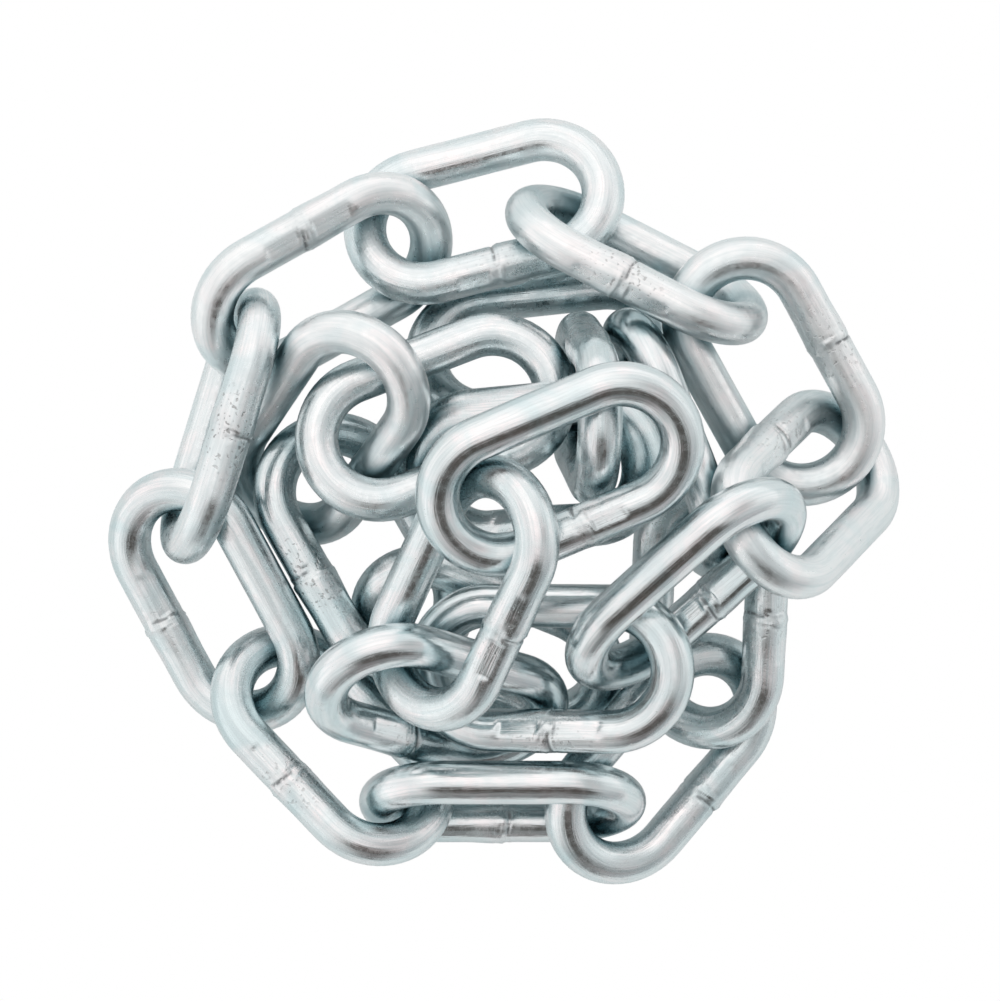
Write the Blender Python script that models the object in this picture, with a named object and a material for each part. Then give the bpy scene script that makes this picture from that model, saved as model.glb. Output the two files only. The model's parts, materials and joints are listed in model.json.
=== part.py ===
"""A loose length of short welded steel chain let down in a low heap on the floor.

Twenty-four closed oval links pass through one another in a single run. Both ends of the run lie inside
the heap. Lengths are millimetres until the last step, which writes metres. +Z is up and the floor is z = 0.
"""

import bmesh
import bpy
import numpy as np
from mathutils import Matrix, Vector

# One link: round wire bent to two half circles joined by two straight arms.
WIRE = 6.0
LENGTH = 40.0
WIDTH = 23.2
BEND_RADIUS = (WIDTH - WIRE) / 2
ARM_HALF = (LENGTH - WIDTH) / 2

# The butt weld in the middle of one arm stands a little proud of the wire.
WELD_PROUD = 0.1
WELD_HALF = 0.7
WELD_FADE = 1.5

# Air left between wires that lean on each other, and the height of a wire's middle above the floor.
CLEARANCE = 0.35
REST_HEIGHT = 3.1

# Mesh of one link.
WIRE_SIDES = 10
BEND_STEPS = 10
CORNER_PROUD = 0.05

# How the run lies, link by link along the chain. Columns: x, y, z of the middle of the link, the heading of
# its long axis seen from above, how far that end is raised, how far the arm on the left of the heading is
# raised, and how readily the link gives way where two wires press on each other.
LAY = [
    (7.3, 3.5, 36.0, 20, -8, 4, 0.3),
    (-6.4, -12.4, 33.0, 70, 12, -22, 0.5),
    (-9.8, -27.3, 21.5, -18, -30, 38, 0.5),
    (5.8, -23.1, 22.0, 0, 5, 2, 0.5),
    (21.5, -11.5, 28.0, 44, 8, 72, 0.3),
    (40.7, 2.2, 15.0, -144, 36, 0, 0.15),
    (33.6, 15.4, 11.0, 128, 14, 0, 0.15),
    (18.5, 32.9, 11.5, -22, 0, -68, 0.15),
    (-2.8, 40.8, 9.5, 14, 0, -8, 0.15),
    (-24.8, 30.6, 11.0, -151, 0, -28, 0.15),
    (-40.6, 11.3, 11.5, 77, 0, -73, 0.15),
    (-42.8, -13.0, 7.5, -64, -8, 18, 0.15),
    (-24.0, -34.6, 7.5, -40, 8, -10, 0.15),
    (-0.7, -42.1, 10.8, 0, 0, 68, 0.0),
    (23.5, -35.4, 8.0, 46, -4, 25, 0.15),
    (29.2, -12.4, 11.0, 90, 0, -18, 0.15),
    (26.0, 5.3, 11.0, -58, -3, 58, 1.0),
    (5.0, 19.0, 4.6, 10, 5, -4, 1.0),
    (12.2, 13.5, 20.0, -90, 60, -90, 0.4),
    (1.4, 5.4, 21.5, 17, 25, -15, 0.5),
    (-9.0, 13.8, 16.0, 29, 2, -4, 0.4),
    (-25.4, 9.8, 12.0, 55, 31, 0, 0.5),
    (-20.8, -5.7, 5.0, -56, 4, 0, 0.5),
    (-0.3, -22.1, 8.6, -33, 0, 42, 1.0),
]

# The links of the rim and the next ones in, which take their places before the middle is laid on them.
RIM = range(4, 18)


def turned(heading, raised, rolled):
    """Matrix that stands a flat link up: roll about its long axis, raise the end, then face the heading."""
    h, p, r = np.radians([heading, raised, rolled])
    face = np.array([[np.cos(h), -np.sin(h), 0], [np.sin(h), np.cos(h), 0], [0, 0, 1]])
    lift = np.array([[np.cos(p), 0, -np.sin(p)], [0, 1, 0], [np.sin(p), 0, np.cos(p)]])
    roll = np.array([[1, 0, 0], [0, np.cos(r), -np.sin(r)], [0, np.sin(r), np.cos(r)]])
    return face @ lift @ roll


def turn_by(vector):
    """Matrix of the turn about this vector, by its length in radians."""
    angle = np.linalg.norm(vector)
    if angle < 1e-12:
        return np.eye(3)
    x, y, z = vector / angle
    cross = np.array([[0, -z, y], [z, 0, -x], [-y, x, 0]])
    return np.eye(3) + np.sin(angle) * cross + (1 - np.cos(angle)) * cross @ cross


def middle_line(count=72):
    """Evenly spaced points on the middle of the wire of a flat link, starting halfway along one arm."""
    arc = np.pi * BEND_RADIUS
    points = []
    for way in np.arange(count) * (4 * ARM_HALF + 2 * arc) / count:
        if way < ARM_HALF:
            points.append((way, -BEND_RADIUS, 0))
        elif way < ARM_HALF + arc:
            t = (way - ARM_HALF) / BEND_RADIUS - np.pi / 2
            points.append((ARM_HALF + BEND_RADIUS * np.cos(t), BEND_RADIUS * np.sin(t), 0))
        elif way < 3 * ARM_HALF + arc:
            points.append((2 * ARM_HALF + arc - way, BEND_RADIUS, 0))
        elif way < 3 * ARM_HALF + 2 * arc:
            t = (way - 3 * ARM_HALF - arc) / BEND_RADIUS + np.pi / 2
            points.append((-ARM_HALF + BEND_RADIUS * np.cos(t), BEND_RADIUS * np.sin(t), 0))
        else:
            points.append((way - 4 * ARM_HALF - 2 * arc, -BEND_RADIUS, 0))
    return np.array(points)


def meetings(a, b, reach):
    """Where two middle lines come within reach: point on each, direction from b to a, and what is short."""
    apart = a[:, None, :] - b[None, :, :]
    dist = np.sqrt((apart**2).sum(-1))
    left = dist < reach
    found = []
    while left.any():
        i, j = np.unravel_index(np.argmin(np.where(left, dist, np.inf)), dist.shape)
        along_a = np.abs(np.arange(len(a)) - i)
        along_b = np.abs(np.arange(len(b)) - j)
        near = (np.minimum(along_a, len(a) - along_a)[:, None] <= 9) & (
            np.minimum(along_b, len(b) - along_b)[None, :] <= 9
        )
        rows, columns = np.nonzero(near & left)
        weight = np.exp((dist[i, j] - dist[rows, columns]) / 0.1)
        weight /= weight.sum()
        way = weight @ (apart[rows, columns] / dist[rows, columns, None])
        way /= np.linalg.norm(way)
        found.append((weight @ a[rows], weight @ b[columns], way, reach - dist[i, j]))
        left &= ~near
    return found


def eased(middles, turns, give, rounds, sink, hold):
    """Moves and turns links a little at a time until no two wires are closer than the clearance.

    Each round lets every link sink, draws it back towards its place, and parts the wires that press on
    each other. The sinking and the drawing back fade out, so the last rounds only part wires.
    """
    line = middle_line()
    placed, facing = middles.copy(), turns.copy()
    count = len(placed)
    for round_number in range(rounds):
        points = np.einsum("nij,kj->nki", facing, line) + placed[:, None, :]
        low, high = points.min(axis=1), points.max(axis=1)
        shift, turn, hits = np.zeros((count, 3)), np.zeros((count, 3)), np.zeros(count)
        for i in range(count):
            for j in range(i + 1, count):
                reach = WIRE + CLEARANCE
                if (low[i] > high[j] + reach).any() or (low[j] > high[i] + reach).any():
                    continue
                for on_i, on_j, way, short in meetings(points[i], points[j], reach):
                    share = give[i] / (give[i] + give[j])
                    push = way * short
                    shift[i] += push * share
                    shift[j] -= push * (1 - share)
                    turn[i] += np.cross(on_i - placed[i], push) * share / 144
                    turn[j] -= np.cross(on_j - placed[j], push) * (1 - share) / 144
                    hits[i] += 1
                    hits[j] += 1
            lowest = np.argmin(points[i, :, 2])
            under = REST_HEIGHT - points[i, lowest, 2]
            if under > 0:
                shift[i, 2] += under
                turn[i] += np.cross(points[i, lowest] - placed[i], (0, 0, under)) / 144
                hits[i] += 1
        fade = max(0.0, 1 - round_number / (rounds * 3 // 4))
        for i in np.nonzero(give)[0]:
            calm = np.sqrt(max(hits[i], 1))
            placed[i] += shift[i] / calm
            placed[i, 2] -= sink * fade
            placed[i, :2] += (middles[i, :2] - placed[i, :2]) * hold[0] * fade
            back = turns[i] @ facing[i].T
            axis = np.array([back[2, 1] - back[1, 2], back[0, 2] - back[2, 0], back[1, 0] - back[0, 1]]) / 2
            facing[i] = turn_by(turn[i] / calm + axis * hold[1] * fade) @ facing[i]
    return placed, facing


def link_mesh():
    """Mesh of one flat link: a round section drawn out of the weld, round both bends and back to it."""
    shape = bmesh.new()
    # The corners of the section stand slightly outside the round wire, and its flats slightly inside.
    corner = WIRE / 2 + CORNER_PROUD
    upright = Matrix.Translation((WELD_HALF, -BEND_RADIUS, 0)) @ Matrix.Rotation(np.pi / 2, 4, "Y")
    bmesh.ops.create_circle(shape, segments=WIRE_SIDES, radius=corner + WELD_PROUD, matrix=upright)
    first = shape.edges[:]

    def drawn(edges, along, to_radius=None, from_radius=corner):
        grown = bmesh.ops.extrude_edge_only(shape, edges=edges)["geom"]
        verts = [v for v in grown if isinstance(v, bmesh.types.BMVert)]
        bmesh.ops.translate(shape, verts=verts, vec=(along, 0, 0))
        if to_radius:
            middle = sum((v.co for v in verts), Vector()) / len(verts)
            size = to_radius / from_radius
            bmesh.ops.scale(shape, verts=verts, vec=(1, size, size), space=Matrix.Translation(-middle))
        return [e for e in grown if isinstance(e, bmesh.types.BMEdge)]

    def bent(edges, about):
        middle = (about, 0, 0)
        turned_geom = bmesh.ops.spin(
            shape, geom=edges, cent=middle, axis=(0, 0, 1), dvec=(0, 0, 0), angle=np.pi, steps=BEND_STEPS
        )["geom_last"]
        return [e for e in turned_geom if isinstance(e, bmesh.types.BMEdge)]

    end = drawn(first, WELD_FADE - WELD_HALF, corner, corner + WELD_PROUD)
    end = drawn(end, ARM_HALF - WELD_FADE)
    end = bent(end, ARM_HALF)
    end = drawn(end, -2 * ARM_HALF)
    end = bent(end, -ARM_HALF)
    end = drawn(end, ARM_HALF - WELD_FADE)
    end = drawn(end, WELD_FADE - WELD_HALF, corner + WELD_PROUD, corner)
    bmesh.ops.bridge_loops(shape, edges=first + end)
    bmesh.ops.recalc_face_normals(shape, faces=shape.faces[:])
    bmesh.ops.scale(shape, verts=shape.verts[:], vec=(0.001, 0.001, 0.001))
    for face in shape.faces:
        face.smooth = True
    mesh = bpy.data.meshes.new("chain_link")
    shape.to_mesh(mesh)
    shape.free()
    return mesh


def zinc(name, tone, roughness):
    """Bright zinc plate over steel, a slightly different tone for each link."""
    material = bpy.data.materials.new(name)
    material.use_nodes = True
    shader = material.node_tree.nodes["Principled BSDF"]
    shader.inputs["Base Color"].default_value = (tone, tone * 1.01, tone * 1.03, 1)
    shader.inputs["Metallic"].default_value = 1.0
    shader.inputs["Roughness"].default_value = roughness
    return material


for old in list(bpy.data.objects):
    bpy.data.objects.remove(old)

lay = np.array(LAY, dtype=float)
middles = lay[:, :3]
turns = np.array([turned(*row[3:6]) for row in lay])
give = lay[:, 6]

# The rim settles first, every link of it alike, then the whole run with the rim nearly firm.
rim = np.array(RIM)
rim_give = (give[rim] > 0).astype(float)
middles[rim], turns[rim] = eased(middles[rim], turns[rim], rim_give, 150, 0.0, (0.08, 0.08))
middles, turns = eased(middles, turns, give, 300, 0.06, (0.12, 0.05))

# The run is set down so that its box stands on the floor with its middle over the origin.
shape = link_mesh()
corners = np.array([v.co for v in shape.vertices]) * 1000
reached = (np.einsum("nij,kj->nki", turns, corners) + middles[:, None, :]).reshape(-1, 3)
low, high = reached.min(axis=0), reached.max(axis=0)
middles -= ((low[0] + high[0]) / 2, (low[1] + high[1]) / 2, low[2])

for number, (middle, turn) in enumerate(zip(middles, turns), start=1):
    mesh = shape.copy()
    mesh.name = f"link_{number:02d}"
    mesh.materials.append(zinc(f"zinc_{number:02d}", 0.66 + 0.03 * (number % 4), 0.26 + 0.02 * (number % 3)))
    link = bpy.data.objects.new(f"link_{number:02d}", mesh)
    link.location = middle / 1000
    link.rotation_euler = Matrix(turn.tolist()).to_euler()
    bpy.context.scene.collection.objects.link(link)
bpy.data.meshes.remove(shape)
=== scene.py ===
import json
import math
import random

import bpy
import numpy as np
from mathutils import Matrix, Vector
from mathutils.bvhtree import BVHTree

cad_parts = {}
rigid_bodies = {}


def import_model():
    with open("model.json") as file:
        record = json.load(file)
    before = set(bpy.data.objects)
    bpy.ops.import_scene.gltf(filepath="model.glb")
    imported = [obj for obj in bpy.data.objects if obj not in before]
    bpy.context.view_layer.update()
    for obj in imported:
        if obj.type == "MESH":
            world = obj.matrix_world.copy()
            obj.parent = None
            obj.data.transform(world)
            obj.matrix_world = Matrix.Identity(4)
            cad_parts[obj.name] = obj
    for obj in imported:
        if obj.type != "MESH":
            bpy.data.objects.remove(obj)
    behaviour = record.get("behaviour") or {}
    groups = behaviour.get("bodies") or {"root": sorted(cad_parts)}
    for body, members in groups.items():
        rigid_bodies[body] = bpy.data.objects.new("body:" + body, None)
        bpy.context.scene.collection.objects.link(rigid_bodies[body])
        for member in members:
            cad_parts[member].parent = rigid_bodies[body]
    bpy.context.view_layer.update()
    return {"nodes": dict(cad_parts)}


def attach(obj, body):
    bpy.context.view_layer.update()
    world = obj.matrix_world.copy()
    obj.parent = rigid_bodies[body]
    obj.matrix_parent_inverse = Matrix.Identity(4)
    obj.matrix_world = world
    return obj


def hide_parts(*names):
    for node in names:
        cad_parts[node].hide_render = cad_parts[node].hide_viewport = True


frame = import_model()
scene = bpy.context.scene
mm = 0.001
print("stage 1: frame loaded,", len(frame["nodes"]), "links")


def deselectAll():
    if bpy.context.object and bpy.context.object.mode != "OBJECT":
        bpy.ops.object.mode_set(mode="OBJECT")
    for thing in bpy.context.view_layer.objects:
        thing.select_set(False)


def workOn(thing):
    deselectAll()
    thing.select_set(True)
    bpy.context.view_layer.objects.active = thing


# The camera stands straight above the middle of the heap, at a long lens.
cameraSet = {
    "place": (-0.62, 0.10, 620.2),  # millimetres
    "lens": 157.30,
    "sensor": 36.0,
    "clip": (0.05, 20.0),  # metres
}

bpy.ops.object.camera_add(location=[c * mm for c in cameraSet["place"]], rotation=(0, 0, 0))
camera = bpy.context.object
camera.name = "camera"
camera.data.lens = cameraSet["lens"]
camera.data.sensor_width = cameraSet["sensor"]
camera.data.clip_start, camera.data.clip_end = cameraSet["clip"]
scene.camera = camera
scene.view_settings.view_transform = "Standard"
scene.view_settings.look = "None"
print("stage 2: camera placed")


# One link: round wire bent to an oval, butt welded in the middle of one arm. The weld lies at x = 0 on the
# arm at minus y. All sizes in millimetres. The stations are the cross sections of half the weld arm.
linkSet = {
    "wire": 6.0,
    "armHalf": 8.4,
    "bendRadius": 8.6,
    "sides": 44,
    "bendSteps": 30,
    "weldStations": (0.18, 0.36, 0.54, 0.72, 0.9, 1.1, 1.3, 1.55, 1.8, 2.1, 2.4, 2.7, 3.0, 3.3, 3.6, 3.9,
                     4.2, 4.45, 4.7, 4.95, 5.2, 5.45, 5.7, 5.95, 6.2, 6.45, 6.7, 7.0, 7.4, 7.9, 8.4),
    "armSteps": 14,
    "mergeWithin": 0.01,
}


def modelLink():
    s = linkSet

    def stretch(length):
        bpy.ops.mesh.extrude_region_move(TRANSFORM_OT_translate={"value": (length * mm, 0, 0)})

    def bend(end):
        bpy.ops.mesh.spin(center=(end * s["armHalf"] * mm, 0, 0), steps=s["bendSteps"], angle=-math.pi,
                          axis=(0, 0, 1))

    deselectAll()
    bpy.ops.mesh.primitive_circle_add(vertices=s["sides"], radius=s["wire"] / 2 * mm,
                                      location=(0, -s["bendRadius"] * mm, 0), rotation=(0, math.pi / 2, 0))
    thing = bpy.context.object
    bpy.ops.object.transform_apply(location=True, rotation=True, scale=True)
    bpy.ops.object.mode_set(mode="EDIT")
    bpy.ops.mesh.select_all(action="SELECT")
    way = 0
    for station in s["weldStations"]:  # from the weld to the first bend
        stretch(station - way)
        way = station
    bend(1)
    for step in range(s["armSteps"]):  # the plain arm
        stretch(-2 * s["armHalf"] / s["armSteps"])
    bend(-1)
    way = s["armHalf"]
    for station in list(reversed(s["weldStations"]))[1:] + [0]:  # back to the weld
        stretch(way - station)
        way = station
    bpy.ops.mesh.select_all(action="SELECT")
    bpy.ops.mesh.remove_doubles(threshold=s["mergeWithin"] * mm)
    bpy.ops.mesh.normals_make_consistent(inside=False)
    bpy.ops.object.mode_set(mode="OBJECT")
    bpy.ops.object.shade_smooth()
    return thing


# Stores on each point how far along the wire it lies from the weld, how far it lies outside the middle line
# of the wire, and how high over it.
def followWire(thing):
    s = linkSet
    points = np.array([v.co for v in thing.data.vertices]) / mm
    x, y, z = points.T
    side = np.sign(x)
    inBend = np.abs(x) > s["armHalf"]
    dx = np.where(inBend, x - side * s["armHalf"], 0)
    away = np.hypot(dx, y)
    out = np.where(inBend, away, np.abs(y)) - s["bendRadius"]
    turn = np.arctan2(np.abs(dx), -y)
    way = np.where(y < 0, np.abs(x), s["armHalf"] * 2 + math.pi * s["bendRadius"] - np.abs(x))
    way = np.where(inBend, s["armHalf"] + s["bendRadius"] * turn, way)
    path = np.stack([way, out, z], 1)
    attribute = thing.data.attributes.new("wirePath", "FLOAT_VECTOR", "POINT")
    attribute.data.foreach_set("vector", path.astype(np.float32).ravel())
    return points, path


plainLink = modelLink()
plainLink.name = "plainLink"
linkPoints, linkPath = followWire(plainLink)
roundWire = np.arctan2(linkPath[:, 2], linkPath[:, 1])  # angle round the wire, 0 on the outside of the oval
print("stage 3: plain link modelled,", len(plainLink.data.polygons), "faces")


# Where a link lies: its long axis, the direction from the weld arm to the plain one, and its middle. Lengths
# in millimetres.
placeSet = {
    "bendsFrom": 8.6,  # points this far along the link from its middle belong to the bends
    "weldWithin": 2.0,  # and points this near to it, to the collar of the weld
    "forward": (0.8, 0.6, 0.1),  # the long axis points to this side of the scene
}


def placeOf(node):
    s = placeSet
    points = np.unique(np.round(np.array([v.co for v in frame["nodes"][node].data.vertices]), 7), axis=0)
    thin, across, along = np.linalg.eigh(np.cov((points - points.mean(0)).T))[1].T
    local = points @ np.stack([along, across, thin], 1)
    middle = (local.max(0) + local.min(0)) / 2
    away = np.abs(local[:, 0] - middle[0])
    bends = away > s["bendsFrom"] * mm
    middle[1] = (local[bends, 1].max() + local[bends, 1].min()) / 2
    weld = local[away < s["weldWithin"] * mm]
    if weld[:, 1].mean() > middle[1]:
        across = -across
        middle[1] = -middle[1]
    if along @ np.array(s["forward"]) < 0:
        along = -along
        middle[0] = -middle[0]
    up = np.cross(along, across)
    middle[2] *= thin @ up
    centre = along * middle[0] + across * middle[1] + up * middle[2]
    turn = Matrix([list(row) for row in np.stack([along, across, up], 1)]).to_4x4()
    return Matrix.Translation(Vector(centre)) @ turn


# How the welds and the wire differ from link to link. Heights and lengths in millimetres, angles in radians.
# A pair of numbers is a range to draw from, apart from the wander and the lean.
weldSet = {
    "shift": (-0.3, 0.3),
    "wander": (0.22, 0.14),  # how far the seam strays in one wave round the wire, and in three
    "phase": (0, 6),
    "ridge": (0.06, 0.18),
    "ridgeWide": (0.30, 0.55),
    "ridgeLeast": 0.2,
    "ridgeLean": (0.5, 0.7),  # how high the ridge is halfway round, and how much more or less on its two sides
    "tick": (0.12, 0.24),
    "tickWide": (0.16, 0.28),
    "tickAway": 0.1,
    "tickTurn": (-1.3, 1.3),
    "tickSpan": (0.5, 1.1),
    "lumps": (0.14, 0.30),
    "lumpSize": 0.9,
    "lumpReach": 1.9,
    "lumpFade": 1.1,
    "trim": (0.06, 0.16),
    "trimAside": 0.4,
    "trimReach": 1.3,
    "trimFade": 0.4,
    "trimTurn": (-0.7, 0.7),
    "step": (0.05, 0.20),
    "stepReach": 5.5,
    "stepFade": 4.5,
    "stepRise": 0.3,
    "flat": (0.20, 0.46),
    "flatFrom": (0.7, 1.3),
    "flatTo": (6.3, 8.2),
    "flatRise": 0.3,
    "flatFade": 0.9,
    "flatTurn": (-0.95, 0.95),
    "flatSkew": (-0.2, 0.2),
    "flatShare": (0.0, 0.35, 0.7, 1.0),  # how much of the depth a flat has, one of these
    "flatLeast": 0.1,
    "grip": 0.7,  # the tick at the edge of a deep flat, as a share of the tick by the weld
    "gripFrom": 0.5,
    "gripWide": 0.16,
    "gripTurn": 0.3,
    "gripSpan": 0.42,
    "heatReach": 2.6,
    "pitReach": 6.0,
    "pitSpan": 1.1,
    "pits": (0.0, 0.15, 0.3, 0.5),  # how pitted the weld arm is, one of these
    "pitted": {8: 0.7, 11: 1.0, 13: 0.5, 23: 0.9},  # links that are pitted this much instead
    "uneven": 0.05,
    "unevenSize": 5.0,
    "faceEdge": 0.14,
    "leastCosine": 0.3,
    "leastWeight": 0.004,
}


def cloudTexture(name, size, depth):
    texture = bpy.data.textures.new(name, "CLOUDS")
    texture.noise_scale = size * mm
    texture.noise_depth = depth
    return texture


lumpTexture = cloudTexture("weldLumps", weldSet["lumpSize"], depth=2)
unevenTexture = cloudTexture("unevenWire", weldSet["unevenSize"], depth=1)


def smooth(t):
    t = np.clip(t, 0, 1)
    return t * t * (3 - 2 * t)


def bell(way, wide, power=2):
    return np.exp(-(way / wide) ** power)


# 1 on the face of the wire at this angle, 0 away from it.
def facing(angle, span):
    return smooth((np.cos(roundWire - angle) - math.cos(span)) / weldSet["faceEdge"])


# How deep a plane that cuts the round wire on this face lies under each point, as a share of its depth.
def planed(angle, deep):
    radius = linkSet["wire"] / 2
    cosine = np.maximum(np.cos(roundWire - angle), weldSet["leastCosine"])
    return np.clip((radius - (radius - deep) / cosine) / deep, 0, 1)


# The weld: a low ridge, trimmed flat on one face, with a fine tick beside it. On one side of it the wire
# stands out by a step. On each side the grips have pressed a long flat into the wire, which starts with a
# sharp edge by the weld. Gives how strong each of these is on every point, and how deep the flats and the
# trimming are.
def weldShapes(node, place, pick, chance):
    s = weldSet
    above = place.to_3x3().transposed() @ Vector((0, 0, 1))
    upward = math.atan2(above.z, -above.y)
    x, y = linkPoints[:, 0], linkPoints[:, 1]
    weldArm = (y < 0) & (np.abs(x) <= linkSet["armHalf"])
    onArm = lambda values: np.where(weldArm, values, 0)

    fromMiddle = x - pick("shift")
    wander = s["wander"][0] * np.sin(roundWire + pick("phase"))
    wander = wander + s["wander"][1] * np.sin(3 * roundWire + pick("phase"))
    off = fromMiddle - wander
    side = chance.choice((-1, 1))
    wide = pick("ridgeWide")
    ridge = onArm(bell(off, wide))
    highSide = smooth(s["ridgeLean"][0] + s["ridgeLean"][1] * np.cos(roundWire - pick("phase")))
    ridge *= s["ridgeLeast"] + (1 - s["ridgeLeast"]) * highSide
    tick = onArm(bell(off * side - wide - s["tickAway"], pick("tickWide")))
    tick *= facing(upward + pick("tickTurn"), pick("tickSpan"))
    zone = onArm(smooth((s["lumpReach"] - np.abs(off)) / s["lumpFade"]))
    trimDeep = pick("trim")
    trim = onArm(smooth((s["trimReach"] - np.abs(off - s["trimAside"] * side)) / s["trimFade"]))
    trim *= planed(upward + pick("trimTurn"), trimDeep)
    behind = -off * side
    step = onArm(smooth((s["stepReach"] - behind) / s["stepFade"])) * smooth(behind / s["stepRise"])

    flatDeep = pick("flat")
    flat = np.zeros(len(x))
    turn = upward + pick("flatTurn")
    for end in (-1, 1):
        near, far = pick("flatFrom"), pick("flatTo")
        way = off * end
        mark = onArm(smooth((way - near) / s["flatRise"]) * smooth((far - way) / s["flatFade"]))
        share = chance.choice(s["flatShare"])
        flat += mark * planed(turn + pick("flatSkew"), flatDeep * max(share, s["flatLeast"])) * share
        if share > s["gripFrom"]:
            edge = onArm(bell(way - near, s["gripWide"])) * facing(turn + s["gripTurn"], s["gripSpan"])
            tick = np.maximum(tick, s["grip"] * edge)

    heat = onArm(bell(fromMiddle, s["heatReach"]))
    byChance = chance.choice(s["pits"])
    pits = onArm(bell(fromMiddle, s["pitReach"], 4)) * facing(upward, s["pitSpan"])
    pits *= s["pitted"].get(int(node[-2:]), byChance)
    shapes = {"ridge": ridge, "tick": tick, "zone": zone, "flat": flat, "trim": trim, "step": step}
    marks = {"weldTick": tick, "weldHeat": heat, "weldFlat": flat, "weldPits": pits}
    return shapes, marks, flatDeep, trimDeep


def weigh(thing, name, weights):
    group = thing.vertex_groups.new(name=name)
    for index in np.nonzero(weights > weldSet["leastWeight"])[0]:
        group.add([int(index)], float(weights[index]), "REPLACE")


def storeValues(thing, name, values):
    attribute = thing.data.attributes.new(name, "FLOAT", "POINT")
    attribute.data.foreach_set("value", values.astype(np.float32))


def displace(thing, group, strength, texture=None, middle=0.0):
    modifier = thing.modifiers.new("displace", "DISPLACE")
    modifier.strength = strength * mm
    modifier.mid_level = middle
    modifier.texture_coords = "LOCAL"
    if texture:
        modifier.texture = texture
    if group:
        modifier.vertex_group = group
    workOn(thing)
    bpy.ops.object.modifier_apply(modifier=modifier.name)


def finishLink(node, chance):
    pick = lambda name: chance.uniform(*weldSet[name])
    place = placeOf(node)
    shapes, marks, flatDeep, trimDeep = weldShapes(node, place, pick, chance)
    thing = plainLink.copy()
    thing.data = plainLink.data.copy()
    thing.name = node.replace("link_", "zincLink")
    scene.collection.objects.link(thing)
    for name, values in shapes.items():
        weigh(thing, name, values)
    for name, values in marks.items():
        storeValues(thing, name, values)
    thing.data.transform(place)
    thing.data.update()
    displace(thing, "ridge", pick("ridge"))
    displace(thing, "tick", -pick("tick"))
    displace(thing, "zone", pick("lumps"), lumpTexture, middle=0.5)
    displace(thing, "flat", -flatDeep)
    displace(thing, "step", pick("step"))
    displace(thing, "trim", -trimDeep)
    displace(thing, None, weldSet["uneven"], unevenTexture, middle=0.5)
    thing["replacedNode"] = node
    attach(thing, "root")
    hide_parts(node)
    return thing


chance = random.Random(7)
links = [finishLink(node, chance) for node in sorted(frame["nodes"])]
bpy.data.objects.remove(plainLink)
print("stage 4:", len(links), "links bent, welded and laid in place")


# How deep each stretch of wire lies among its neighbours: the share of the sky over it that other wires hide.
# The finishes paint shade from it: darker and more teal where more of the sky is hidden. It is looked up on a
# coarse grid of points along and round each link, then spread over the mesh. The rays start a little above the
# wire and end at their reach, both in millimetres.
deepSet = {"along": 72, "round": 14, "rays": 22, "lift": 0.3, "reach": 13.0}


# The middle line of a link and the way out from it, at a distance from the weld, negative on its left.
def linkLine(way):
    arm, radius = linkSet["armHalf"], linkSet["bendRadius"]
    far = 2 * arm + math.pi * radius
    side = -1 if way < 0 else 1
    way = abs(way)
    if way < arm:
        return Vector((side * way, -radius, 0)), Vector((0, -1, 0))
    if way > far - arm:
        return Vector((side * (far - way), radius, 0)), Vector((0, 1, 0))
    turn = (way - arm) / radius
    outward = Vector((side * math.sin(turn), -math.cos(turn), 0))
    return Vector((side * arm, 0, 0)) + outward * radius, outward


# Directions over half the sky, more of them straight up, as light counts.
def skyRays(count):
    golden = math.pi * (3 - math.sqrt(5))
    rays = []
    for k in range(count):
        away = math.sqrt((k + 0.5) / count)
        rays.append((away * math.cos(golden * k), away * math.sin(golden * k), math.sqrt(1 - away * away)))
    return rays


def treeOf(things):
    points, faces = [], []
    for thing in things:
        first = len(points)
        points += [v.co.copy() for v in thing.data.vertices]
        faces += [[first + i for i in p.vertices] for p in thing.data.polygons]
    return BVHTree.FromPolygons(points, faces)


def hiddenSky(tree, rays, start, normal):
    across = normal.orthogonal().normalized()
    over = normal.cross(across)
    hits = 0
    for a, b, c in rays:
        hit = tree.ray_cast(start, across * a + over * b + normal * c, deepSet["reach"] * mm)
        hits += hit[0] is not None
    return hits / len(rays)


def markDepth(things):
    s = deepSet
    tree = treeOf(things)
    rays = skyRays(s["rays"])
    half = 2 * linkSet["armHalf"] + math.pi * linkSet["bendRadius"]
    signed = linkPath[:, 0] * np.where(linkPoints[:, 0] < 0, -1, 1)
    column = (signed / half + 1) / 2 * s["along"]
    row = roundWire / (2 * math.pi) * s["round"]
    c0, r0 = np.floor(column).astype(int), np.floor(row).astype(int)
    fc, fr = column - c0, row - r0
    for thing in things:
        place = placeOf(thing["replacedNode"])
        grid = np.zeros((s["along"], s["round"]))
        for i in range(s["along"]):
            middle, outward = linkLine((2 * i / s["along"] - 1) * half)
            for j in range(s["round"]):
                angle = 2 * math.pi * j / s["round"]
                normal = outward * math.cos(angle) + Vector((0, 0, math.sin(angle)))
                start = place @ ((middle + normal * (linkSet["wire"] / 2 + s["lift"])) * mm)
                grid[i, j] = hiddenSky(tree, rays, start, (place.to_3x3() @ normal).normalized())
        at = lambda c, r: grid[c % s["along"], r % s["round"]]
        depth = (at(c0, r0) * (1 - fc) + at(c0 + 1, r0) * fc) * (1 - fr)
        depth += (at(c0, r0 + 1) * (1 - fc) + at(c0 + 1, r0 + 1) * fc) * fr
        storeValues(thing, "heapShadeDepth", depth)


markDepth(links)
print("stage 5: depth in the heap marked")


# Helpers for shader nodes.
def newTree(name, inputs, outputs):
    tree = bpy.data.node_groups.new(name, "ShaderNodeTree")
    for socketName, value in inputs:
        socket = tree.interface.new_socket(name=socketName, in_out="INPUT", socket_type="NodeSocketFloat")
        socket.default_value = value
    for socketName in outputs:
        tree.interface.new_socket(name=socketName, in_out="OUTPUT", socket_type="NodeSocketFloat")
    return tree


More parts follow.
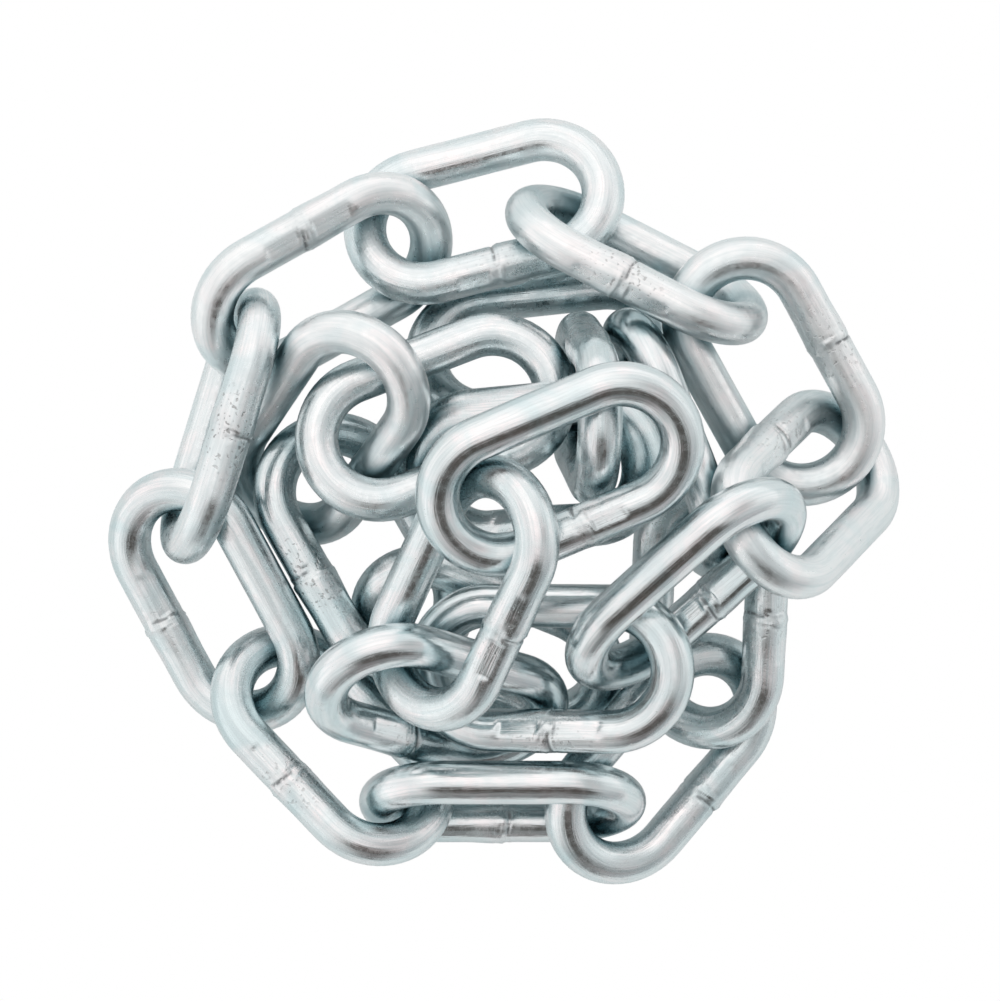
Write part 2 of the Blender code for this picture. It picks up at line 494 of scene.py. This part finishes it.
def put(tree, kind, at, settings=None, values=None):
    node = tree.nodes.new(kind)
    node.location = at
    for key, value in (settings or {}).items():
        setattr(node, key, value)
    for key, value in (values or {}).items():
        if isinstance(value, bpy.types.NodeSocket):
            tree.links.new(value, node.inputs[key])
        else:
            node.inputs[key].default_value = value
    return node


def maths(tree, operation, a, b, at, clamp=False):
    node = put(tree, "ShaderNodeMath", at, {"operation": operation, "use_clamp": clamp}, {0: a, 1: b})
    return node.outputs[0]


def ramp(tree, value, low, high, at, toLow=0.0, toHigh=1.0):
    node = put(tree, "ShaderNodeMapRange", at, {"interpolation_type": "SMOOTHSTEP"},
               {"Value": value, "From Min": low, "From Max": high, "To Min": toLow, "To Max": toHigh})
    return node.outputs["Result"]


def blendColour(tree, factor, a, b, at):
    node = put(tree, "ShaderNodeMix", at, {"data_type": "RGBA", "blend_type": "MIX"},
               {"Factor": factor, 6: a, 7: b})
    return node.outputs[2]


def stored(tree, name, at):
    return put(tree, "ShaderNodeAttribute", at, {"attribute_name": name}).outputs["Fac"]


# The place in the object, in millimetres.
def inMillimetres(tree):
    place = put(tree, "ShaderNodeTexCoord", (-900, 300))
    scaled = put(tree, "ShaderNodeVectorMath", (-700, 200), {"operation": "SCALE"},
                 {0: place.outputs["Object"], "Scale": 1 / mm})
    return scaled.outputs[0]


# The patterns: waves to the millimetre, how many finer waves they hold, and how strong those are. The mask
# that a pattern makes goes from none to full between two of its values.
patternSet = {
    "fineLines": dict(scale=3.0, detail=3.0, rough=0.6, mask=(0.44, 0.62), stretch=0.05),
    "streaks": dict(scale=0.7, detail=2.0, rough=0.5, mask=(0.38, 0.66)),
    "clouds": dict(scale=0.22, detail=3.0, rough=0.55, mask=(0.40, 0.64)),
    "tint": dict(scale=0.11, detail=2.0, rough=0.5, warp=0.6, mask=(0.50, 0.68)),
    "grain": dict(scale=2.6, detail=3.0, rough=0.65),
    "frost": dict(scale=0.9, detail=4.0, rough=0.7, mask=(0.35, 0.68)),
    "blots": dict(scale=1.1, detail=3.0, rough=0.6, mask=(0.30, 0.52), heatMask=(0.30, 0.70), heatLeast=0.4),
    "dots": dict(scale=1.6, detail=1.0, rough=0.55, warp=0.3, mask=(0.60, 0.70)),
}


def scaleOf(name):
    return patternSet[name]["scale"]


def noise(tree, vector, at, name, scale=None):
    s = patternSet[name]
    node = put(tree, "ShaderNodeTexNoise", at, None, {
        "Vector": vector, "Scale": s["scale"] if scale is None else scale, "Detail": s["detail"],
        "Roughness": s["rough"], "Distortion": s.get("warp", 0.0)})
    return node.outputs[0]


def maskOf(tree, name, value, at, least=0.0, most=1.0):
    return ramp(tree, value, *patternSet[name]["mask"], at, least, most)


# Fine lines that the drawing die left along the wire.
def drawnLinesGroup():
    tree = newTree("drawnLines", [("Stretch", patternSet["fineLines"]["stretch"]),
                                  ("Scale", scaleOf("fineLines")), ("Seed", 0.0)], ("Lines", "Streaks"))
    given = put(tree, "NodeGroupInput", (-900, 0))
    path = put(tree, "ShaderNodeAttribute", (-900, 200), {"attribute_name": "wirePath"})
    parts = put(tree, "ShaderNodeSeparateXYZ", (-700, 200), None, {0: path.outputs["Vector"]})
    along = maths(tree, "MULTIPLY", parts.outputs[0], given.outputs["Stretch"], (-520, 260))
    along = maths(tree, "ADD", along, given.outputs["Seed"], (-360, 260))
    joined = put(tree, "ShaderNodeCombineXYZ", (-200, 200), None,
                 {0: along, 1: parts.outputs[1], 2: parts.outputs[2]}).outputs[0]
    put(tree, "NodeGroupOutput", (400, 0), None, {
        "Lines": noise(tree, joined, (0, 300), "fineLines", given.outputs["Scale"]),
        "Streaks": noise(tree, joined, (0, 0), "streaks"),
    })
    return tree


# The plate itself: soft clouds of tint, frosted grains and a fine crystal surface.
def zincSkinGroup():
    tree = newTree("zincSkin", [("Cloud Size", scaleOf("clouds")), ("Grain Size", scaleOf("grain")),
                                ("Seed", 0.0)], ("Clouds", "Tint", "Frost", "Grain"))
    given = put(tree, "NodeGroupInput", (-900, 0))
    seed = put(tree, "ShaderNodeCombineXYZ", (-900, -200), None, {0: given.outputs["Seed"]})
    moved = put(tree, "ShaderNodeVectorMath", (-520, 200), {"operation": "ADD"},
                {0: inMillimetres(tree), 1: seed.outputs[0]}).outputs[0]
    put(tree, "NodeGroupOutput", (300, 0), None, {
        "Clouds": noise(tree, moved, (-200, 300), "clouds", given.outputs["Cloud Size"]),
        "Tint": noise(tree, moved, (-200, 60), "tint"),
        "Frost": noise(tree, moved, (-200, -420), "frost"),
        "Grain": noise(tree, moved, (-200, -180), "grain", given.outputs["Grain Size"]),
    })
    return tree


# What the welding left: scale in the ticks, grip flats, pits and a dull heated stretch on each side.
def weldMarksGroup():
    tree = newTree("weldMarks", [("Blot Size", scaleOf("blots")), ("Dot Size", scaleOf("dots"))],
                   ("Scale", "Heat", "Flat", "Pits"))
    given = put(tree, "NodeGroupInput", (-900, 0))
    place = inMillimetres(tree)
    blots = noise(tree, place, (-500, 200), "blots", given.outputs["Blot Size"])
    dots = noise(tree, place, (-500, 420), "dots", given.outputs["Dot Size"])
    s = patternSet["blots"]
    scaly = maskOf(tree, "blots", blots, (-300, 200))
    burnt = ramp(tree, blots, *s["heatMask"], (-300, -100), s["heatLeast"], 1.0)
    holes = maskOf(tree, "dots", dots, (-300, 420))
    put(tree, "NodeGroupOutput", (200, 0), None, {
        "Scale": maths(tree, "MULTIPLY", stored(tree, "weldTick", (-700, -280)), scaly, (-100, 0)),
        "Heat": maths(tree, "MULTIPLY", stored(tree, "weldHeat", (-700, -460)), burnt, (-100, -200)),
        "Flat": stored(tree, "weldFlat", (-700, -640)),
        "Pits": maths(tree, "MULTIPLY", stored(tree, "weldPits", (-700, -820)), holes, (-100, 420)),
    })
    return tree


drawnLines = drawnLinesGroup()
zincSkin = zincSkinGroup()
weldMarks = weldMarksGroup()

# The finishes: the same bright plate, a little cooler, warmer, duller or more drawn from link to link.
zincSet = {
    "zincBright": dict(base=(0.80, 0.865, 0.875), pale=(0.885, 0.885, 0.895), cool=(0.68, 0.80, 0.82),
                       rough=(0.13, 0.24), lines=1.3, grain=0.20, streak=0.32, seed=0.0),
    "zincDrawn": dict(base=(0.79, 0.855, 0.865), pale=(0.875, 0.87, 0.88), cool=(0.65, 0.775, 0.795),
                      rough=(0.15, 0.30), lines=1.8, grain=0.24, streak=0.45, seed=11.0),
    "zincFrosted": dict(base=(0.84, 0.90, 0.91), pale=(0.915, 0.915, 0.92), cool=(0.73, 0.835, 0.855),
                        rough=(0.20, 0.36), lines=1.5, grain=0.40, streak=0.34, seed=23.0),
    "zincPale": dict(base=(0.87, 0.915, 0.92), pale=(0.93, 0.93, 0.935), cool=(0.77, 0.86, 0.875),
                     rough=(0.26, 0.42), lines=1.1, grain=0.50, streak=0.26, seed=37.0),
}

# The marks on every finish: their colour, how far it covers the plate, what they add to its roughness (the
# flats take it off) and how deep they are in its relief. The deep mark is painted shade, not a mark of the
# plate: a dark teal laid on the wire where neighbouring wires hide the sky over it.
markSet = {
    "scratch": dict(colour=(0.58, 0.68, 0.70)),
    "streak": dict(more=0.15, rough=0.12),
    "heat": dict(colour=(0.60, 0.64, 0.65), cover=0.20, rough=0.10),
    # painted shade: dark teal where the heap hides the sky over the wire, between these hidden shares
    "deep": dict(colour=(0.30, 0.43, 0.46), cover=0.92, between=(0.34, 0.88)),
    "pits": dict(colour=(0.30, 0.31, 0.31), cover=0.75, height=2.2),
    "scale": dict(colour=(0.10, 0.11, 0.12), cover=0.75, rough=0.25),
    "flat": dict(rough=0.07),
    "relief": dict(strength=0.45, distance=0.00006),  # the distance in metres
}


def zincMaterial(name, s):
    m = markSet
    material = bpy.data.materials.new(name)
    material.use_nodes = True
    tree = material.node_tree
    tree.nodes.clear()
    skin = put(tree, "ShaderNodeGroup", (-1200, 300), {"node_tree": zincSkin}, {"Seed": s["seed"]}).outputs
    lines = put(tree, "ShaderNodeGroup", (-1200, 0), {"node_tree": drawnLines}, {"Seed": s["seed"]}).outputs
    weld = put(tree, "ShaderNodeGroup", (-1200, -250), {"node_tree": weldMarks}).outputs

    def share(value, amount, at):
        return maths(tree, "MULTIPLY", value, amount, at)

    def cover(over, factor, at):
        return blendColour(tree, factor, colour, (*over, 1.0), at)

    clouds = maskOf(tree, "clouds", skin["Clouds"], (-900, 400))
    tint = maskOf(tree, "tint", skin["Tint"], (-900, 200))
    streak = maskOf(tree, "streaks", lines["Streaks"], (-900, 0), 0.0, s["streak"] + m["streak"]["more"])
    scratch = maskOf(tree, "fineLines", lines["Lines"], (-900, 120), 0.0, s["streak"])
    # Painted shade: the colour turns dark teal where neighbouring wires hide the sky over the wire.
    depth = stored(tree, "heapShadeDepth", (-900, 560))
    deep = ramp(tree, depth, *m["deep"]["between"], (-700, 560), 0.0, m["deep"]["cover"])
    heat = share(weld["Heat"], m["heat"]["cover"], (-520, -200))
    pits = share(weld["Pits"], m["pits"]["cover"], (-520, -270))
    scale = share(weld["Scale"], m["scale"]["cover"], (-520, -350))
    colour = (*s["base"], 1.0)
    colour = cover(s["pale"], clouds, (-700, 400))
    colour = cover(s["cool"], tint, (-520, 350))
    colour = cover(s["cool"], streak, (-340, 300))
    colour = cover(m["scratch"]["colour"], scratch, (-250, 300))
    colour = cover(m["heat"]["colour"], heat, (-160, 250))
    # painted shade in the hollows of the heap
    colour = cover(m["deep"]["colour"], deep, (-80, 400))
    colour = cover(m["pits"]["colour"], pits, (-40, 300))
    colour = cover(m["scale"]["colour"], scale, (0, 200))

    rough = maskOf(tree, "frost", skin["Frost"], (-900, -100), *s["rough"])
    rough = maths(tree, "ADD", rough, share(weld["Heat"], m["heat"]["rough"], (-340, -100)), (-160, -50))
    rough = maths(tree, "ADD", rough, share(streak, m["streak"]["rough"], (-340, -20)), (-80, -50))
    rough = maths(tree, "ADD", rough, share(weld["Scale"], m["scale"]["rough"], (-340, -250)), (0, -50))
    polish = share(weld["Flat"], m["flat"]["rough"], (-340, -300))
    rough = maths(tree, "SUBTRACT", rough, polish, (80, -50), clamp=True)

    height = share(lines["Lines"], s["lines"], (-520, -500))
    height = maths(tree, "ADD", height, share(skin["Grain"], s["grain"], (-520, -620)), (-340, -500))
    holes = share(weld["Pits"], m["pits"]["height"], (-340, -700))
    height = maths(tree, "SUBTRACT", height, holes, (-160, -500))
    bump = put(tree, "ShaderNodeBump", (0, -350), None, {
        "Strength": m["relief"]["strength"], "Distance": m["relief"]["distance"], "Height": height})

    shader = put(tree, "ShaderNodeBsdfPrincipled", (250, 100), None,
                 {"Base Color": colour, "Roughness": rough, "Normal": bump.outputs[0], "Metallic": 1.0})
    put(tree, "ShaderNodeOutputMaterial", (550, 100), None, {0: shader.outputs[0]})
    return material


zinc = {name: zincMaterial(name, s) for name, s in zincSet.items()}
finishOf = {
    "zincBright": (1, 3, 4, 5, 14, 17),
    "zincDrawn": (2, 12, 13, 15, 16, 19, 20, 23, 24),
    "zincFrosted": (9, 11, 18, 21),
    "zincPale": (6, 7, 8, 10, 22),
}
for finish, numbers in finishOf.items():
    for number in numbers:
        links[number - 1].data.materials.clear()
        links[number - 1].data.materials.append(zinc[finish])
print("stage 6: zinc finishes made")


# Floor: a plain white table. Straight views of it stay evenly white, as in a cut-out product picture.
floorSet = {"size": 3.0, "drop": 0.2, "white": (1.0, 1.0, 1.0, 1.0), "diffuse": (0.80, 0.855, 0.86, 1.0),
            "glow": 0.14}


# One shader for what the camera sees straight, and another for all other light.
def seenOrNot(tree, hidden, seen, at):
    path = put(tree, "ShaderNodeLightPath", (at[0], at[1] + 300))
    return put(tree, "ShaderNodeMixShader", at, None,
               {0: path.outputs["Is Camera Ray"], 1: hidden.outputs[0], 2: seen.outputs[0]}).outputs[0]


deselectAll()
bpy.ops.mesh.primitive_plane_add(size=floorSet["size"], location=(0, 0, -floorSet["drop"] * mm))
floor = bpy.context.object
floor.name = "floor"
bpy.ops.object.transform_apply(location=True, rotation=True, scale=True)
paper = bpy.data.materials.new("paleFloor")
paper.use_nodes = True
tree = paper.node_tree
tree.nodes.clear()
plain = put(tree, "ShaderNodeBsdfDiffuse", (-400, 0), None, {"Color": floorSet["diffuse"]})
glow = put(tree, "ShaderNodeEmission", (-400, -100), None,
           {"Color": floorSet["white"], "Strength": floorSet["glow"]})
under = put(tree, "ShaderNodeAddShader", (-250, -50), None, {0: plain.outputs[0], 1: glow.outputs[0]})
lit = put(tree, "ShaderNodeEmission", (-400, -250), None, {"Color": floorSet["white"], "Strength": 1.0})
put(tree, "ShaderNodeOutputMaterial", (150, 0), None, {0: seenOrNot(tree, under, lit, (-100, 0))})
floor.data.materials.append(paper)


# Studio light, by direction: a pale room, a soft box nearly overhead and the dark of the camera side below
# it. Places are on the sky seen in a mirror ball: 0 overhead, 1 at the horizon; x to the right, y to the top.
roomSet = {
    "zenith": (0.95, 0.91, 0.905, 1),
    "horizon": (1.10, 1.05, 1.04, 1),
    "between": (-0.1, 0.9),  # the one goes over into the other between these heights, 1 being overhead
    "white": (1, 1, 1, 1),  # what the camera sees behind everything
}
patchSet = {
    "north": dict(at=(-0.05, 1.15), size=(1.00, 0.50), turn=0, edge=0.6, colour=(1.22, 1.16, 1.15, 1)),
    "west": dict(at=(-1.02, -0.25), size=(0.40, 0.55), turn=0, edge=0.6, colour=(1.18, 1.12, 1.11, 1)),
    "far": dict(at=(0.78, -0.82), size=(0.74, 0.64), turn=-35, edge=0.6, colour=(0.45, 0.455, 0.465, 1)),
    "south": dict(at=(-0.16, -0.90), size=(0.42, 0.42), turn=0, edge=0.6, colour=(0.52, 0.51, 0.51, 1)),
    "column": dict(at=(0.09, -0.86), size=(0.20, 0.46), turn=0, edge=0.6, colour=(0.22, 0.21, 0.21, 1)),
    "side": dict(at=(0.36, 0.02), size=(0.15, 0.24), turn=0, edge=0.6, colour=(0.58, 0.56, 0.56, 1)),
    "dark": dict(at=(0.12, -0.38), size=(0.31, 0.18), turn=-18, edge=0.45, colour=(0.085, 0.074, 0.068, 1)),
    "box": dict(at=(-0.14, 0.30), size=(0.24, 0.28), turn=20, edge=0.6, colour=(1.26, 1.17, 1.15, 1)),
}

world = bpy.data.worlds.new("studio")
scene.world = world
world.use_nodes = True
tree = world.node_tree
tree.nodes.clear()
direction = put(tree, "ShaderNodeTexCoord", (-1400, 0)).outputs["Generated"]
unit = put(tree, "ShaderNodeVectorMath", (-1200, 0), {"operation": "NORMALIZE"}, {0: direction}).outputs[0]
axis = put(tree, "ShaderNodeSeparateXYZ", (-1000, 0), None, {0: unit}).outputs
below = maths(tree, "ADD", axis[2], 1.0001, (-820, -150))  # a little over 1, so that it is never 0
mirrorX = maths(tree, "DIVIDE", axis[0], below, (-640, 0))
mirrorY = maths(tree, "DIVIDE", axis[1], below, (-640, -180))
mirrorBall = put(tree, "ShaderNodeCombineXYZ", (-460, 0), None, {0: mirrorX, 1: mirrorY}).outputs[0]


def skyPatch(tree, s, at):
    mapped = put(tree, "ShaderNodeMapping", at, {"vector_type": "TEXTURE"}, {
        "Vector": mirrorBall, "Location": (*s["at"], 0), "Rotation": (0, 0, math.radians(s["turn"])),
        "Scale": (*s["size"], 1)})
    far = put(tree, "ShaderNodeVectorMath", (at[0] + 180, at[1]), {"operation": "LENGTH"},
              {0: mapped.outputs[0]})
    return ramp(tree, far.outputs["Value"], 1 + s["edge"], 1 - s["edge"], (at[0] + 360, at[1]))


height = ramp(tree, axis[2], *roomSet["between"], (-460, 300))
sky = blendColour(tree, height, roomSet["horizon"], roomSet["zenith"], (-200, 300))
for row, patch in enumerate(patchSet.values()):
    mask = skyPatch(tree, patch, (-700, -500 - 300 * row))
    sky = blendColour(tree, mask, sky, patch["colour"], (row * 120, 200))
room = put(tree, "ShaderNodeBackground", (500, 100), None, {"Color": sky, "Strength": 1.0})
white = put(tree, "ShaderNodeBackground", (500, -100), None, {"Color": roomSet["white"], "Strength": 1.0})
put(tree, "ShaderNodeOutputWorld", (950, 100), None, {0: seenOrNot(tree, room, white, (750, 100))})
print("stage 7: floor and studio light set")
